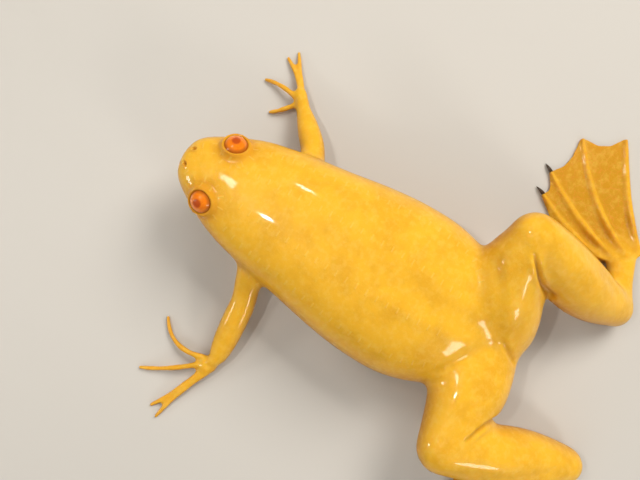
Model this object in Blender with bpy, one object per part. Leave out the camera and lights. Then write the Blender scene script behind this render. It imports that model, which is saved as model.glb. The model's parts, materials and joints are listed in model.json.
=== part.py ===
"""Life-size still model of a pale (albino) African clawed frog, resting on its belly.

The frog faces -Y and its left side is +X. The origin is on the floor under the belly.
Shapes are worked out in millimetres, along the distance back from the snout tip, and
each finished node is scaled to metres once, at the end.
"""

import math

import bmesh
import bpy
import numpy as np
from mathutils import Matrix, Vector
from mathutils.bvhtree import BVHTree

MM = 0.001
GAP = 0.32                      # air left between neighbouring solids
ORIGIN_FROM_SNOUT = 64.0        # the origin lies this far behind the snout tip

# Trunk sections: distance from the snout, half width, top and bottom height.
TRUNK_SECTIONS = (
    (0.0, 0.6, 19.6, 18.6),
    (0.8, 4.6, 21.0, 17.0),
    (2.4, 6.6, 22.2, 15.2),
    (5.5, 8.9, 23.4, 13.2),
    (9.0, 10.9, 24.3, 11.6),
    (13.0, 13.0, 25.0, 10.0),
    (17.5, 15.1, 25.8, 8.3),
    (24.0, 17.0, 26.6, 6.0),
    (32.0, 18.6, 27.4, 3.8),
    (42.0, 20.3, 28.2, 1.6),
    (54.0, 22.6, 28.8, -0.2),
    (67.0, 24.0, 29.0, -0.7),
    (79.0, 23.4, 28.0, -0.4),
    (89.0, 20.0, 25.6, 1.0),
    (97.0, 14.6, 22.0, 3.0),
    (103.0, 8.6, 18.0, 5.4),
    (107.5, 1.2, 13.0, 8.6),
)
WIDEST_LEVEL = 0.42             # share of a section's height where it is widest
TRUNK_SQUARENESS = 2.35         # superellipse exponent of a section

# Limb joints: sideways from the midline, distance behind the snout, height.
JOINTS = {
    "right": {
        "shoulder": (-9.0, 35.0, 13.0),
        "elbow": (-21.6, 29.0, 7.4),
        "wrist": (-31.2, 19.4, 4.2),
        "hip": (-4.5, 101.0, 12.5),
        "knee": (-28.8, 92.8, 28.0),
        "ankle": (-27.9, 128.6, 5.2),
        "instep": (-42.4, 124.0, 3.2),
    },
    "left": {
        "shoulder": (9.0, 29.0, 13.0),
        "elbow": (26.7, 35.2, 7.6),
        "wrist": (45.1, 36.9, 4.2),
        "hip": (4.5, 101.0, 12.0),
        "knee": (31.8, 102.6, 18.0),
        "ankle": (18.4, 138.6, 5.2),
        "instep": (32.4, 137.0, 3.2),
    },
}
SIDES = {"right": -1.0, "left": 1.0}
SHOULDER_CUP = {"right": (-20.6, 30.0, 8.3), "left": (23.0, 33.9, 8.7)}
SHOULDER_CUP_RADIUS = 5.3       # the upper arm starts in a round socket of this size
# How far the right leg's parts bow off the straight line between their joints.
BOWS = {"thigh_right": (0.2, -3.0, 0.0), "shank_right": (1.6, -0.4, 0.0)}

# Limb sections: share of the length, half width across, half thickness.
THIGH = ((0.0, 10.4, 9.0), (0.35, 11.2, 10.0), (0.7, 8.5, 8.7), (1.0, 6.9, 7.0))
SHANK = ((0.0, 6.9, 6.9), (0.3, 8.3, 7.7), (0.6, 8.7, 7.4), (0.85, 7.2, 6.4), (1.0, 5.6, 5.6))
TARSUS = ((0.0, 5.4, 5.2), (0.5, 4.3, 3.6), (1.0, 4.4, 3.0), (1.35, 4.6, 2.7))
UPPER_ARM = ((0.0, 4.2, 4.2), (0.5, 4.0, 4.0), (1.0, 3.8, 3.8))
FOREARM = {
    "right": ((0.0, 3.7, 3.7), (0.35, 3.7, 3.6), (0.75, 3.0, 2.7), (1.0, 2.4, 2.1), (1.2, 2.4, 1.9)),
    "left": ((0.0, 3.9, 3.8), (0.35, 4.0, 3.8), (0.75, 3.7, 3.1), (1.0, 3.1, 2.4), (1.2, 2.9, 2.1)),
}

# Hand: sideways and behind the snout, where the palm lies and where each finger,
# from the inner one outwards, starts, bends and ends. The outer two lie together.
PALM = {"right": (-33.9, 17.1, 3.2), "left": (48.5, 35.8, 3.2)}
FINGERS = {
    "right": (
        ((-31.2, 17.0), (-27.6, 13.6), (-25.4, 10.6)),
        ((-32.9, 16.2), (-34.0, 9.7), (-33.4, 4.3)),
        ((-34.2, 16.6), (-38.8, 12.6), (-42.9, 6.6)),
        ((-34.8, 17.2), (-39.6, 13.3), (-46.0, 8.7)),
    ),
    "left": (
        ((47.4, 33.4), (48.3, 24.3), (43.1, 17.6)),
        ((49.4, 33.8), (55.9, 26.0), (60.4, 18.4)),
        ((50.2, 35.4), (60.6, 31.3), (68.1, 27.2)),
        ((50.6, 36.6), (61.1, 32.5), (70.3, 30.3)),
    ),
}
FINGER_ROOT_RADIUS = 0.98
FINGER_TIP_RADIUS = 0.6
PALM_HALF_SIZE = {"right": (3.3, 2.0, 1.8), "left": (3.4, 2.6, 1.9)}

# Foot: toes from the inner one outwards, heading relative to the foot and length.
TOE_HEADINGS = (-41.0, -25.5, -13.5, 8.1, 28.5)
TOE_LENGTHS = (23.0, 30.0, 33.2, 38.1, 36.6)
TOE_BOWS = (-1.7, -1.7, -1.8, -3.0, -1.3)
FOOT_HEADING = {"right": 35.0, "left": 60.0}
FOOT_ROOT_WIDTH = 9.4
ROOT_OVERLAP = 4.0              # the foot starts this far behind its joint and is trimmed
TOE_HALF_WIDTH = ((0.0, 0.75), (0.15, 1.05), (0.45, 1.25), (1.0, 0.8))
TOE_HEIGHT = (5.2, 1.7)
WEB_HEIGHT = (4.2, 0.95)        # top of the web at the root and at its edge
WEB_SCALLOP = 0.034             # how far the web's edge falls back between two toes
SOLE_LIFT = 0.35                # the web is this far off the floor
CLAW_LENGTH = 2.6
CLAW_RADIUS = 0.62
CLAWED_TOES = (0, 1, 2)

# Head features.
EYE_PLACE = (8.2, 12.6, 22.1)
EYE_RADIUS = 3.7
EYE_AXIS = (0.5, -0.15, 0.85)   # each eye looks up and outwards
BROW_RADIUS = 4.9               # the swelling that holds the eye
BROW_DEPTH = 2.6                # its centre lies this far behind the eye's
LID_HEIGHT = 1.9                # the lid's rim lies this far in front of the eye's centre
LID_RADIUS = 0.6
MOUTH_CORNER = 19.0             # how far back from the snout the mouth reaches
MOUTH_FRONT_LEVEL = 17.6
MOUTH_CORNER_LEVEL = 14.2
MOUTH_WIDTH = 0.5
MOUTH_DEPTH = 0.8
LIP_RADIUS = 0.75
NOSTRIL_PLACE = (2.3, 2.7)
NOSTRIL_RADIUS = 0.55

VOXEL = 0.8                     # grain of the blended flesh before it is thinned out
BLEND_STEPS = 10
TRIANGLES = {
    "head": 1500, "torso": 2000, "thigh": 560, "shank": 560,
    "tarsus": 260, "upper_arm": 180, "forearm": 280,
}

SKIN = ("frog_skin", (0.93, 0.72, 0.30), 0.35)
WEB = ("foot_web_skin", (0.86, 0.66, 0.28), 0.35)
EYE = ("frog_eye", (0.85, 0.33, 0.10), 0.08)
CLAW = ("claw_horn", (0.10, 0.07, 0.05), 0.3)


def place(point):
    """A point given as sideways, behind the snout, height, in the model's frame."""
    return Vector((point[0], point[1] - ORIGIN_FROM_SNOUT, point[2]))


def heading(side, degrees):
    """The level direction that is turned from straight ahead towards that side."""
    angle = math.radians(degrees)
    return Vector((SIDES[side] * math.sin(angle), -math.cos(angle), 0.0))


def curve_through(stations, count):
    """Rows read from a smooth curve through the stations, spaced closer at both ends."""
    table = np.array(stations, float)
    share = 0.5 - 0.5 * np.cos(np.linspace(0.0, math.pi, count))
    share = 0.45 * share + 0.55 * np.linspace(0.0, 1.0, count)
    x, at = table[:, 0], table[0, 0] + (table[-1, 0] - table[0, 0]) * share
    rows = [at]
    for column in table.T[1:]:
        slope = np.gradient(column, x)
        i = np.clip(np.searchsorted(x, at, side="right") - 1, 0, len(x) - 2)
        width = x[i + 1] - x[i]
        t = (at - x[i]) / width
        rows.append(
            column[i] * (1 + 2 * t) * (1 - t) ** 2
            + slope[i] * width * t * (1 - t) ** 2
            + column[i + 1] * t * t * (3 - 2 * t)
            - slope[i + 1] * width * t * t * (1 - t)
        )
    return np.array(rows).T


def closed_loft(name, rings, first_pole, last_pole):
    """A closed mesh through rings of equal count, with a pole at each end."""
    count = len(rings[0])
    points = [p for ring in rings for p in ring] + [first_pole, last_pole]
    faces = []
    for r in range(len(rings) - 1):
        for i in range(count):
            j = (i + 1) % count
            faces.append((r * count + i, r * count + j, (r + 1) * count + j, (r + 1) * count + i))
    last = (len(rings) - 1) * count
    for i in range(count):
        j = (i + 1) % count
        faces.append((j, i, len(points) - 2))
        faces.append((last + i, last + j, len(points) - 1))
    return mesh_object(name, points, faces)


def mesh_object(name, points, faces):
    mesh = bpy.data.meshes.new(name)
    mesh.from_pydata([tuple(p) for p in points], [], faces)
    work = bmesh.new()
    work.from_mesh(mesh)
    bmesh.ops.recalc_face_normals(work, faces=work.faces)
    work.to_mesh(mesh)
    work.free()
    made = bpy.data.objects.new(name, mesh)
    bpy.context.scene.collection.objects.link(made)
    return made


def trunk():
    """Head and body in one loft along the midline."""
    rings = []
    turn = np.linspace(0.0, 2 * math.pi, 48, endpoint=False)
    for back, half, top, bottom in curve_through(TRUNK_SECTIONS, 64):
        widest = bottom + WIDEST_LEVEL * (top - bottom)
        power = 2.0 / TRUNK_SQUARENESS
        ring = []
        for angle in turn:
            c, s = math.cos(angle), math.sin(angle)
            reach = top - widest if s > 0 else widest - bottom
            x = half * math.copysign(abs(c) ** power, c)
            z = widest + reach * math.copysign(abs(s) ** power, s)
            ring.append(place((x, back, z)))
        rings.append(ring)
    ends = [place((0.0, row[0] + step, (row[2] + row[3]) / 2))
            for row, step in ((TRUNK_SECTIONS[0], -0.3), (TRUNK_SECTIONS[-1], 0.4))]
    return closed_loft("trunk", rings, ends[0], ends[1])


def limb(name, start, end, sections, across):
    """A limb part with round ends between two joints, wide along the direction named across."""
    along = (end - start).normalized()
    side = (across - along * across.dot(along)).normalized()
    up = side.cross(along)
    length = (end - start).length
    bow = Vector(BOWS.get(name, (0.0, 0.0, 0.0)))
    rows = [list(row) for row in curve_through(sections, 14)]
    for at_end, row in ((-1.0, rows[0]), (1.0, rows[-1])):
        caps = []
        for angle in (25.0, 50.0, 72.0):
            c, s = math.cos(math.radians(angle)), math.sin(math.radians(angle))
            caps.append([row[0] + at_end * s * row[2] / length, row[1] * c, row[2] * c])
        rows = rows + caps if at_end > 0 else caps[::-1] + rows
    turn = np.linspace(0.0, 2 * math.pi, 20, endpoint=False)
    rings = []
    for share, wide, thick in rows:
        bent = math.sin(math.pi * min(max(share, 0.0), 1.0) ** 1.4)
        centre = start + along * (length * share) + bow * bent
        rings.append([centre + side * (wide * math.cos(a)) + up * (thick * math.sin(a)) for a in turn])
    poles = [start + along * (length * row[0] + at_end * 0.25 * row[2])
             for at_end, row in ((-1.0, rows[0]), (1.0, rows[-1]))]
    return closed_loft(name, rings, poles[0], poles[1])


def joint(side, name):
    return place(JOINTS[side][name])


def flesh_pieces(side):
    """The overlapping parts of one side's arm and leg."""
    level = Vector((0.0, 0.0, 1.0))
    leg_plane = (joint(side, "knee") - joint(side, "hip")).cross(
        joint(side, "ankle") - joint(side, "knee")).normalized()
    thigh_way = joint(side, "knee") - joint(side, "hip")
    shank_way = joint(side, "ankle") - joint(side, "knee")
    tarsus_way = joint(side, "instep") - joint(side, "ankle")
    arm_way = joint(side, "elbow") - joint(side, "shoulder")
    fore_way = joint(side, "wrist") - joint(side, "elbow")
    return [
        limb(f"thigh_{side}", joint(side, "hip"), joint(side, "knee"), THIGH,
             leg_plane.cross(thigh_way)),
        limb(f"shank_{side}", joint(side, "knee"), joint(side, "ankle"), SHANK,
             shank_way.cross(level)),
        limb(f"tarsus_{side}", joint(side, "ankle"), joint(side, "instep"), TARSUS,
             tarsus_way.cross(level)),
        limb(f"upper_arm_{side}", joint(side, "shoulder"), joint(side, "elbow"), UPPER_ARM,
             arm_way.cross(level)),
        limb(f"forearm_{side}", joint(side, "elbow"), joint(side, "wrist"), FOREARM[side],
             fore_way.cross(level)),
    ]


def block(name, centre, normal, spread, half_sizes):
    """A box whose first axis is the normal and whose second is the spread direction."""
    first = normal.normalized()
    second = (spread - first * spread.dot(first)).normalized()
    third = first.cross(second)
    turn = Matrix((first, second, third)).transposed().to_4x4()
    made = mesh_object(name, *unit_box())
    made.data.transform(Matrix.Translation(centre) @ turn @ Matrix.Diagonal((*half_sizes, 1.0)))
    return made


def unit_box():
    points = [(x, y, z) for x in (-1, 1) for y in (-1, 1) for z in (-1, 1)]
    faces = [(0, 1, 3, 2), (4, 6, 7, 5), (0, 4, 5, 1), (2, 3, 7, 6), (0, 2, 6, 4), (1, 5, 7, 3)]
    return points, faces


def bend_normal(side, before, at, after):
    """The normal of the plane that splits the bend at a joint in two."""
    into = (joint(side, at) - joint(side, before)).normalized()
    out = (joint(side, after) - joint(side, at)).normalized()
    return (into + out).normalized()


def hand_way(side):
    return place(PALM[side]) - joint(side, "wrist")


def foot_way(side):
    return heading(side, FOOT_HEADING[side])


def cutting_slabs(side):
    """Thin blades that part one side's limbs at their joints."""
    up = Vector((0.0, 0.0, 1.0))
    groin = place((SIDES[side] * 28.5, 82.1, 14.0))
    rump = place((SIDES[side] * 0.8, 112.0, 14.0))
    hip_line = rump - groin
    return [
        socket_cup(side),
        block("cut", (groin + rump) / 2, hip_line.cross(up), up,
              (GAP / 2, 24.0, hip_line.length / 2)),
        fold_cut(side, ("shoulder", "elbow", "wrist"), 0.0, 5.8),
        fold_cut(side, ("hip", "knee", "ankle"), 6.0, 17.0),
        fold_cut(side, ("knee", "ankle", "instep"), 3.5, 13.5),
    ]


def fold_cut(side, joints, shift, reach):
    """A blade through a bend, shifted into the fold and reaching that far each way."""
    before, at, after = joints
    normal = bend_normal(side, before, at, after)
    into_fold = (joint(side, before) + joint(side, after)) / 2 - joint(side, at)
    into_fold = (into_fold - normal * into_fold.dot(normal)).normalized()
    return block("cut", joint(side, at) + into_fold * shift, normal, into_fold,
                 (GAP / 2, reach, reach))


def socket_cup(side):
    """A thin round cup that frees the upper arm from the body and opens outwards."""
    centre = place(SHOULDER_CUP[side])
    inward = (joint(side, "shoulder") - joint(side, "elbow")).normalized()
    across = inward.cross(Vector((0.0, 0.0, 1.0))).normalized()
    other = inward.cross(across)
    outline = [(SHOULDER_CUP_RADIUS, a) for a in np.linspace(8.0, 96.0, 8)]
    outline += [(SHOULDER_CUP_RADIUS + GAP, a) for a in np.linspace(96.0, 8.0, 8)]
    turn = [2 * math.pi * k / 24 for k in range(24)]
    rings = []
    for radius, angle in outline:
        c, s = radius * math.cos(math.radians(angle)), radius * math.sin(math.radians(angle))
        rings.append([centre + inward * c + (across * math.cos(a) + other * math.sin(a)) * s
                      for a in turn])
    return closed_loft("cup", rings, centre + inward * SHOULDER_CUP_RADIUS,
                       centre + inward * (SHOULDER_CUP_RADIUS + GAP))


def end_block(side, at, keep_inner):
    """A box that trims the limb before the wrist or instep, or the hand or foot after it."""
    before, way = ("elbow", hand_way(side)) if at == "wrist" else ("ankle", foot_way(side))
    into = (joint(side, at) - joint(side, before)).normalized()
    normal = (into + way.normalized()).normalized()
    depth = 6.0
    offset = (depth - GAP / 2) * (1.0 if keep_inner else -1.0)
    up = Vector((0.0, 0.0, 1.0))
    return block("trim", joint(side, at) + normal * offset, normal, up, (depth, 8.0, 9.0))


def evaluated(obj):
    """Replaces an object's mesh by what its modifiers make of it."""
    made = bpy.data.meshes.new_from_object(
        obj.evaluated_get(bpy.context.evaluated_depsgraph_get()))
    obj.modifiers.clear()
    obj.data = made
    return obj


def combine(target, pieces, operation):
    """One Boolean of a collection of closed pieces on the target, applied."""
    group = bpy.data.collections.new("operands")
    bpy.context.scene.collection.children.link(group)
    for piece in pieces:
        bpy.context.scene.collection.objects.unlink(piece)
        group.objects.link(piece)
    step = target.modifiers.new("combine", "BOOLEAN")
    step.operation = operation
    step.solver = "EXACT"
    step.operand_type = "COLLECTION"
    step.collection = group
    evaluated(target)
    for piece in pieces:
        bpy.data.objects.remove(piece)
    bpy.data.collections.remove(group)
    return target


def islands(obj):
    """The vertex index sets of an object's closed surfaces, largest first."""
    work = bmesh.new()
    work.from_mesh(obj.data)
    left, found = set(work.verts), []
    while left:
        seed = left.pop()
        group, front = {seed}, [seed]
        while front:
            for edge in front.pop().link_edges:
                for vert in edge.verts:
                    if vert in left:
                        left.discard(vert)
                        group.add(vert)
                        front.append(vert)
        found.append({v.index for v in group})
    work.free()
    return sorted(found, key=len, reverse=True)


def island_object(name, obj, members):
    """A copy of one of an object's closed surfaces."""
    made = bpy.data.objects.new(name, obj.data.copy())
    bpy.context.scene.collection.objects.link(made)
    work = bmesh.new()
    work.from_mesh(made.data)
    extra = [v for v in work.verts if v.index not in members]
    bmesh.ops.delete(work, geom=extra, context="VERTS")
    work.to_mesh(made.data)
    work.free()
    return made


def keep_largest(obj):
    """Drops loose scraps and sealed hollows that a union or a cut leaves."""
    groups = islands(obj)
    if len(groups) == 1:
        return obj
    kept = island_object(obj.name + "_kept", obj, groups[0])
    obj.data = kept.data
    bpy.data.objects.remove(kept)
    return obj


def thin_out(obj, triangles):
    """Brings a node down to about that many triangles."""
    mesh = obj.data
    count = sum(len(p.vertices) - 2 for p in mesh.polygons)
    work = bmesh.new()
    work.from_mesh(mesh)
    bmesh.ops.triangulate(work, faces=work.faces)
    work.to_mesh(mesh)
    work.free()
    step = obj.modifiers.new("thin", "DECIMATE")
    step.ratio = min(1.0, triangles / count)
    return evaluated(obj)


def flesh():
    """All the flesh but hands and feet, blended and parted into its nodes."""
    body = trunk()
    pieces = [piece for side in SIDES for piece in flesh_pieces(side)]
    pieces += [ball("brow", eye_place(side) - eye_axis(side) * BROW_DEPTH, (BROW_RADIUS,) * 3)
               for side in SIDES]
    joined = bmesh.new()
    for piece in [body, *pieces]:
        joined.from_mesh(piece.data)
    joined.to_mesh(body.data)
    joined.free()
    for piece in pieces:
        bpy.data.objects.remove(piece)
    blend = body.modifiers.new("blend", "REMESH")
    blend.mode = "VOXEL"
    blend.voxel_size = VOXEL
    soften = body.modifiers.new("soften", "SMOOTH")
    soften.factor = 0.5
    soften.iterations = BLEND_STEPS
    evaluated(body)
    up = Vector((0.0, 0.0, 1.0))
    cuts = [block("cut", place((0.0, 24.6, 16.0)), Vector((0.0, 1.0, 0.12)), up,
                  (GAP / 2, 18.0, 18.2))]
    for side in SIDES:
        cuts += cutting_slabs(side)
        cuts += [end_block(side, "wrist", True), end_block(side, "instep", True)]
    combine(body, cuts + [floor_block()], "DIFFERENCE")
    return parted(body)


def part_middles():
    """A point near the middle of each flesh node."""
    middles = {"head": place((0.0, 13.0, 17.0)), "torso": place((0.0, 62.0, 14.0))}
    for side in SIDES:
        for name, start, end in (
            ("thigh", "hip", "knee"), ("shank", "knee", "ankle"), ("tarsus", "ankle", "instep"),
            ("upper_arm", "shoulder", "elbow"), ("forearm", "elbow", "wrist"),
        ):
            share = 0.8 if name == "upper_arm" else 0.5
            middles[f"{name}_{side}"] = joint(side, start).lerp(joint(side, end), share)
    return middles


def parted(body):
    """One object for each closed surface of the cut flesh, named by its place."""
    nodes = {}
    middles = part_middles()
    groups = islands(body)[:len(middles)]
    for members in groups:
        centre = sum((body.data.vertices[i].co for i in members), Vector()) / len(members)
        name = min((n for n in middles if n not in nodes), key=lambda n: (middles[n] - centre).length)
        nodes[name] = island_object(name, body, members)
    bpy.data.objects.remove(body)
    missing = sorted(set(middles) - set(nodes))
    if missing:
        raise RuntimeError(f"the cuts left no solid for {missing}")
    for name, obj in nodes.items():
        kind = name.replace("_left", "").replace("_right", "")
        thin_out(obj, TRIANGLES[kind])
    return nodes


def tree_of(obj):
    work = bmesh.new()
    work.from_mesh(obj.data)
    tree = BVHTree.FromBMesh(work)
    work.free()
    return tree


def tube(name, points, radii, sides):
    """A closed tube of changing radius through points, with pointed round ends."""
    rings = []
    across = None
    for i, (point, radius) in enumerate(zip(points, radii)):
        ahead = points[min(i + 1, len(points) - 1)] - points[max(i - 1, 0)]
        ahead.normalize()
        guide = across if across is not None else Vector((0.0, 0.0, 1.0))
        if abs(guide.dot(ahead)) > 0.95:
            guide = Vector((1.0, 0.0, 0.0))
        across = (guide - ahead * guide.dot(ahead)).normalized()
        other = ahead.cross(across)
        turn = [2 * math.pi * k / sides for k in range(sides)]
        rings.append([point + across * (radius * math.cos(a)) + other * (radius * math.sin(a))
                      for a in turn])
    first = points[0] - (points[1] - points[0]).normalized() * radii[0] * 0.5
    last = points[-1] + (points[-1] - points[-2]).normalized() * radii[-1] * 0.5
    return closed_loft(name, rings, first, last)


def ball(name, centre, half_sizes, segments=24, rings=14):
    work = bmesh.new()
    bmesh.ops.create_uvsphere(work, u_segments=segments, v_segments=rings, radius=1.0)
    bmesh.ops.transform(
        work, matrix=Matrix.Translation(centre) @ Matrix.Diagonal((*half_sizes, 1.0)), verts=work.verts)
    mesh = bpy.data.meshes.new(name)
    work.to_mesh(mesh)
    work.free()
    made = bpy.data.objects.new(name, mesh)
    bpy.context.scene.collection.objects.link(made)
    return made


def mouth_line(tree):
    """Points on the head's surface along the mouth, from the right corner to the left."""
    points = []
    back_off = place((0.0, MOUTH_CORNER + 1.0, 0.0)).y
    for angle in np.linspace(-86.0, 86.0, 27):
        share = abs(angle) / 86.0
        level = MOUTH_FRONT_LEVEL + (MOUTH_CORNER_LEVEL - MOUTH_FRONT_LEVEL) * share ** 1.6
        way = Vector((math.sin(math.radians(angle)), -math.cos(math.radians(angle)), 0.0))
        hit = tree.ray_cast(Vector((0.0, back_off, level)) + way * 60.0, -way)
        points.append((hit[0], hit[1]))
    return points


def head_features(head):
    """Lips, mouth, lids, eye sockets, nostrils and the short feeler under each eye."""
    tree = tree_of(head)
    line = mouth_line(tree)
    added = []
    for shift, radius in ((0.75, LIP_RADIUS), (-0.8, LIP_RADIUS * 0.85)):
        path = [p + Vector((0.0, 0.0, shift)) - n * (radius * 0.62) for p, n in line]
        taper = [radius * min(1.0, 0.45 + 0.2 * min(i, len(path) - 1 - i)) for i in range(len(path))]
        added.append(tube("lip", path, taper, 6))
    for side, sign in SIDES.items():
        added.append(lid_ring(side))
        root = tree.find_nearest(eye_place(side) + Vector((sign * 4.2, -1.4, -3.6)))
        tip = root[0] + root[1] * 0.9 + Vector((sign * 0.3, -0.5, 0.15))
        added.append(tube("feeler", [root[0] - root[1] * 0.8, root[0] + root[1] * 0.3, tip],
                          (0.6, 0.5, 0.32), 6))
    combine(head, added, "UNION")
    keep_largest(head)
    cuts = [mouth_blade(line)]
    for side, sign in SIDES.items():
        cuts.append(ball("socket", eye_place(side), (EYE_RADIUS + GAP,) * 3, 20, 12))
        above = place((sign * NOSTRIL_PLACE[0], NOSTRIL_PLACE[1], 40.0))
        spot = tree.ray_cast(above, Vector((0.0, 0.0, -1.0)))
        cuts.append(ball("nostril", spot[0] + Vector((0.0, 0.1, 0.0)),
                         (NOSTRIL_RADIUS, NOSTRIL_RADIUS * 1.5, NOSTRIL_RADIUS * 1.6), 10, 8))
    combine(head, cuts, "DIFFERENCE")
    keep_largest(head)


def eye_place(side):
    return place((SIDES[side] * EYE_PLACE[0], EYE_PLACE[1], EYE_PLACE[2]))


def eye_axis(side):
    return Vector((SIDES[side] * EYE_AXIS[0], EYE_AXIS[1], EYE_AXIS[2])).normalized()


def lid_ring(side):
    """The fleshy rim round the open part of an eye."""
    outward = eye_axis(side)
    centre = eye_place(side) + outward * LID_HEIGHT
    reach = math.sqrt((EYE_RADIUS + GAP) ** 2 - LID_HEIGHT ** 2) + LID_RADIUS * 0.3
    across = outward.cross(Vector((0.0, 1.0, 0.0))).normalized()
    fore = across.cross(outward)
    points = []
    for k in range(18):
        angle = 2 * math.pi * k / 18
        points.append(centre + (across * math.cos(angle) + fore * math.sin(angle)) * reach)
    rings = []
    for k, point in enumerate(points):
        around = (point - centre).normalized()
        rings.append([point + (around * math.cos(a) + outward * math.sin(a)) * LID_RADIUS
                      for a in [2 * math.pi * i / 6 for i in range(6)]])
    faces = []
    for r in range(18):
        for i in range(6):
            j, q = (i + 1) % 6, (r + 1) % 18
            faces.append((r * 6 + i, r * 6 + j, q * 6 + j, q * 6 + i))
    return mesh_object("lid", [p for ring in rings for p in ring], faces)


def mouth_blade(line):
    """The thin curved strip that opens the line of the mouth."""
    half = MOUTH_WIDTH / 2
    points, faces = [], []
    for i, (point, normal) in enumerate(line):
        edge = min(i, len(line) - 1 - i)
        depth = MOUTH_DEPTH * min(1.0, 0.25 + 0.25 * edge)
        flat = Vector((normal.x, normal.y, 0.0)).normalized()
        inner, outer = point - flat * depth, point + flat * 2.0
        for p, z in ((inner, -half * 0.4), (outer, -half * 1.6), (outer, half * 1.6), (inner, half * 0.4)):
            points.append(p + Vector((0.0, 0.0, z)))
    for r in range(len(line) - 1):
        for k in range(4):
            n = (k + 1) % 4
            faces.append((r * 4 + k, r * 4 + n, r * 4 + 4 + n, r * 4 + 4 + k))
    last = (len(line) - 1) * 4
    faces += [(0, 3, 2, 1), (last, last + 1, last + 2, last + 3)]
    return mesh_object("mouth", points, faces)


def hand(side):
    """Palm and four slim fingers, trimmed at the wrist."""
    centre = place(PALM[side])
    way = hand_way(side).normalized()
    made = ball(f"hand_{side}", Vector(), PALM_HALF_SIZE[side], 14, 8)
    turn = Matrix.Rotation(math.atan2(way.y, way.x), 4, "Z")
    made.data.transform(Matrix.Translation(centre) @ turn)
    wrist = joint(side, "wrist")
    parts = [tube("wrist", [wrist - way * 4.0, wrist, wrist.lerp(centre, 0.6), centre],
                  (2.3, 2.3, 2.1, 1.6), 12)]
    for start, bend, end in FINGERS[side]:
        parts.append(finger(start, bend, end, centre.z))
    combine(made, parts, "UNION")
    trims = [end_block(side, "wrist", False), floor_block()]
    combine(made, trims, "DIFFERENCE")
    return keep_largest(made)


def finger(start, bend, end, palm_height):
    """A slim finger with slight knuckles that comes down from the palm to the floor."""
    points, radii = [], []
    for k in range(10):
        share = k / 9
        flat = bent_line(start, bend, end, share)
        radius = FINGER_ROOT_RADIUS + (FINGER_TIP_RADIUS - FINGER_ROOT_RADIUS) * share
        radius *= 1.0 + 0.08 * math.cos(2 * math.pi * 2.5 * share)
        fall = (1 - share) ** 1.6
        height = palm_height * fall + (radius - 0.12) * (1 - fall) + 0.6 * share * (1 - share)
        points.append(place((*flat, height)))
        radii.append(radius)
    return tube("finger", points, radii, 8)


def bent_line(start, bend, end, share):
    """A level curve from the start to the end that passes through the bend halfway."""
    ease = (1 - share) * (1 - 2 * share), 4 * share * (1 - share), share * (2 * share - 1)
    return tuple(ease[0] * a + ease[1] * m + ease[2] * b for a, m, b in zip(start, bend, end))


def floor_block():
    up = Vector((0.0, 0.0, 1.0))
    return block("floor", Vector((0.0, 0.0, -5.0)), up, Vector((1.0, 0.0, 0.0)), (5.0, 120.0, 120.0))


def outwards(side, way):
    """The level direction square to a toe's way, towards the frog's outer side."""
    return way.cross(Vector((0.0, 0.0, 1.0))).normalized() * -SIDES[side]


def toe_centre(side, order, share):
    """A point along a toe's middle line, from the instep to its tip."""
    way = foot_way(side)
    out = outwards(side, way)
    root = joint(side, "instep") - way * ROOT_OVERLAP
    spread = (order - 2) / 4.0 * FOOT_ROOT_WIDTH
    angle = math.radians(TOE_HEADINGS[order])
    ahead = (way * math.cos(angle) + out * math.sin(angle)) * TOE_LENGTHS[order]
    start = root + out * spread
    bow = out * (TOE_BOWS[order] * math.sin(math.pi * share))
    full = joint(side, "instep") + ahead
    flat = start.lerp(full, share) + bow
    return Vector((flat.x, flat.y, 0.0))


def foot(side):
    """A webbed foot as one sheet whose toes stand up as ridges."""
    columns = []                # each is (toe order, sideways share of the toe, or web share)
    for order in range(5):
        for step in (-1.0, -0.55, 0.0, 0.55, 1.0):
            columns.append((order, step, None))
        if order < 4:
            for share in (0.34, 0.66):
                columns.append((order, None, share))
    rows = 11
    top, sole = [], []
    for order, step, between in columns:
        upper, lower = [], []
        for r in range(rows):
            share = (r / (rows - 1)) ** 0.9
            if between is None:
                point, high = toe_point(side, order, share, step)
                low = 0.0 if abs(step) < 0.8 else SOLE_LIFT * 0.5
            else:
                reach = share * (1.0 - WEB_SCALLOP * 4 * between * (1 - between) - 0.02)
                a, _ = toe_point(side, order, reach, 1.0)
                b, _ = toe_point(side, order + 1, reach, -1.0)
                point = a.lerp(b, between)
                high = WEB_HEIGHT[0] + (WEB_HEIGHT[1] - WEB_HEIGHT[0]) * min(1.0, reach * 2.6) ** 0.7
                low = SOLE_LIFT
            upper.append(Vector((point.x, point.y, high)))
            lower.append(Vector((point.x, point.y, low)))
        top.append(upper)
        sole.append(lower)
    return sheet_solid(f"foot_{side}", top, sole)


def toe_point(side, order, share, step):
    """A point on a toe at a share of its length, and the height of its ridge there."""
    centre = toe_centre(side, order, share)
    ahead = toe_centre(side, order, min(1.0, share + 0.02)) - toe_centre(side, order, share - 0.02)
    out = outwards(side, ahead)
    half = float(np.interp(share, *zip(*TOE_HALF_WIDTH)))
    half *= 1.0 - 0.35 * max(0.0, share - 0.9) * 10
    knuckle = 1.0 + 0.10 * math.cos(2 * math.pi * share * (2.0 if order < 2 else 3.0))
    web = WEB_HEIGHT[0] + (WEB_HEIGHT[1] - WEB_HEIGHT[0]) * min(1.0, share * 2.6) ** 0.7
    ridge = TOE_HEIGHT[0] + (TOE_HEIGHT[1] * knuckle - TOE_HEIGHT[0]) * min(1.0, share * 1.7) ** 0.75
    ridge = max(ridge, web + 0.55)
    bulge = math.sqrt(max(0.0, 1.0 - step * step))
    return centre + out * (half * step), web + (ridge - web) * bulge


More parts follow.
